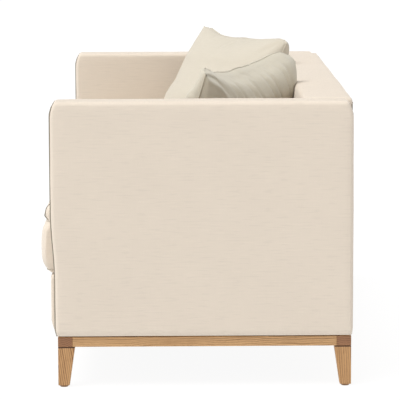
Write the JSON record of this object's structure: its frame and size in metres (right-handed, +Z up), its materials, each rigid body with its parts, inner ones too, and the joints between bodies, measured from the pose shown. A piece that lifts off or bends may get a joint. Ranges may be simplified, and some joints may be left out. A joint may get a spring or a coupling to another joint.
{
  "type": "sofa with wooden legs",
  "caption": "Upholstered box-arm sofa with a tight back, loose seat cushions and scatter pillows on an oak plinth with tapered legs.",
  "frame": {"origin": "on the floor, below the centre of the sofa's bounding box", "axes": "+X along the length, +Z up, the sofa faces -Y"},
  "size_m": [1.86, 0.83, 0.8285],
  "materials": {
    "oak": "satin",
    "linen": "matte",
    "linen_pillow": "matte",
    "frame_timber": "matte",
    "foam": "matte",
    "wadding": "matte",
    "webbing": "matte",
    "dust_cloth": "matte",
    "spring_steel": "satin",
    "bolt_steel": "satin",
    "glide_plastic": "matte"
  },
  "bodies": {
    "sofa_base": {"apron_cover": "linen", "apron_foam": "foam", "arm_back_post_left": "frame_timber", "arm_back_post_right": "frame_timber", "arm_bottom_rail_left": "frame_timber", "arm_bottom_rail_right": "frame_timber", "arm_cover_left": "linen", "arm_cover_right": "linen", "arm_foam_left": "foam", "arm_foam_right": "foam", "arm_front_post_left": "frame_timber", "arm_front_post_right": "frame_timber", "arm_top_rail_left": "frame_timber", "arm_top_rail_right": "frame_timber", "back_bottom_rail": "frame_timber", "back_centre_post": "frame_timber", "back_cover": "linen", "back_foam": "foam", "back_strap_1": "webbing", "back_strap_2": "webbing", "back_strap_3": "webbing", "back_strap_4": "webbing", "back_top_rail": "frame_timber", "dust_cover": "dust_cloth", "glide_back_left": "glide_plastic", "glide_back_right": "glide_plastic", "glide_front_left": "glide_plastic", "glide_front_right": "glide_plastic", "leg_back_left": "oak", "leg_back_right": "oak", "leg_bolt_back_left": "bolt_steel", "leg_bolt_back_right": "bolt_steel", "leg_bolt_front_left": "bolt_steel", "leg_bolt_front_right": "bolt_steel", "leg_front_left": "oak", "leg_front_right": "oak", "plinth_back_rail": "oak", "plinth_front_rail": "oak", "plinth_left_rail": "oak", "plinth_right_rail": "oak", "seat_back_rail": "frame_timber", "seat_centre_rail": "frame_timber", "seat_deck": "wadding", "seat_front_rail": "frame_timber", "seat_spring_1": "spring_steel", "seat_spring_2": "spring_steel", "seat_spring_3": "spring_steel", "seat_spring_4": "spring_steel", "seat_spring_5": "spring_steel", "seat_spring_6": "spring_steel", "seat_spring_7": "spring_steel", "seat_spring_8": "spring_steel"},
    "seat_cushion_left": {"seat_cushion_cover_left": "linen", "seat_cushion_core_left": "foam"},
    "seat_cushion_right": {"seat_cushion_cover_right": "linen", "seat_cushion_core_right": "foam"},
    "pillow_left": {"pillow_cover_left": "linen_pillow", "pillow_insert_left": "wadding"},
    "pillow_right": {"pillow_cover_right": "linen_pillow", "pillow_insert_right": "wadding"}
  },
  "joints": [
    {"name": "seat_cushion_left_lift", "type": "slide", "parent": "sofa_base", "child": "seat_cushion_left", "axis": [0, 0, 1], "range_m": [0, 0.25]},
    {"name": "seat_cushion_right_lift", "type": "slide", "parent": "sofa_base", "child": "seat_cushion_right", "axis": [0, 0, 1], "range_m": [0, 0.25]},
    {"name": "pillow_left_lift", "type": "slide", "parent": "seat_cushion_left", "child": "pillow_left", "axis": [0, 0, 1], "range_m": [0, 0.25]},
    {"name": "pillow_right_lift", "type": "slide", "parent": "seat_cushion_right", "child": "pillow_right", "axis": [0, 0, 1], "range_m": [0, 0.25]}
  ]
}
